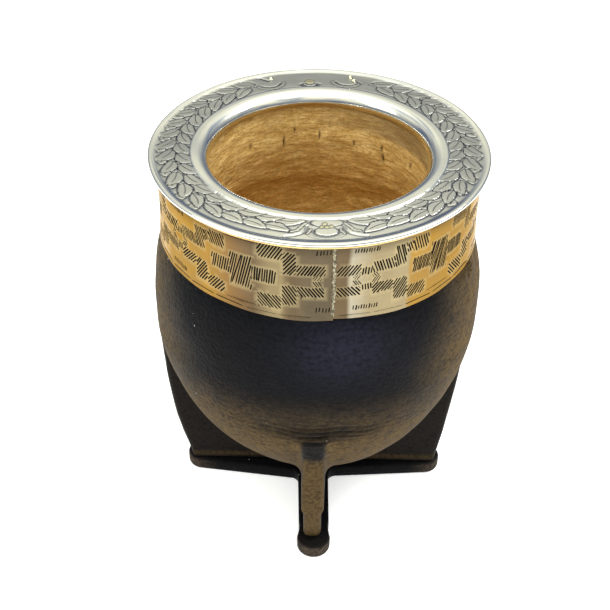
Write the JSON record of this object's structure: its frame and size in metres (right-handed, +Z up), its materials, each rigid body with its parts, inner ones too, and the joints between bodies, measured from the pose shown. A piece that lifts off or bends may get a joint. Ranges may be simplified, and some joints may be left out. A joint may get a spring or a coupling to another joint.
{
  "type": "mate cup",
  "caption": "Round gourd drinking cup in a moulded leather jacket with fins on a cross-shaped sole, an engraved metal neck band and a chased metal brim.",
  "frame": {"origin": "on the ground under the middle of the cup, on the sole's underside", "axes": "+Z up along the cup's axis, -Y towards the front fin and the band's seam, +X to the right seen from the front"},
  "size_m": [0.0898, 0.0898, 0.1151],
  "materials": {
    "gourd": "dry fibrous calabash, matt",
    "jacket_leather": "waxed, wet-moulded, browned where it is rubbed",
    "sole_leather": "black edge finish, slight sheen",
    "band_metal": "polished nickel silver, golden towards the sides, engraved",
    "gold_wire": "polished",
    "brim_metal": "polished nickel silver, chased"
  },
  "bodies": {
    "root": {"gourd": "gourd", "leather_cover": "jacket_leather", "sole": "sole_leather", "side_band": "band_metal", "trim_ring": "gold_wire", "brim": "brim_metal"}
  },
  "joints": []
}
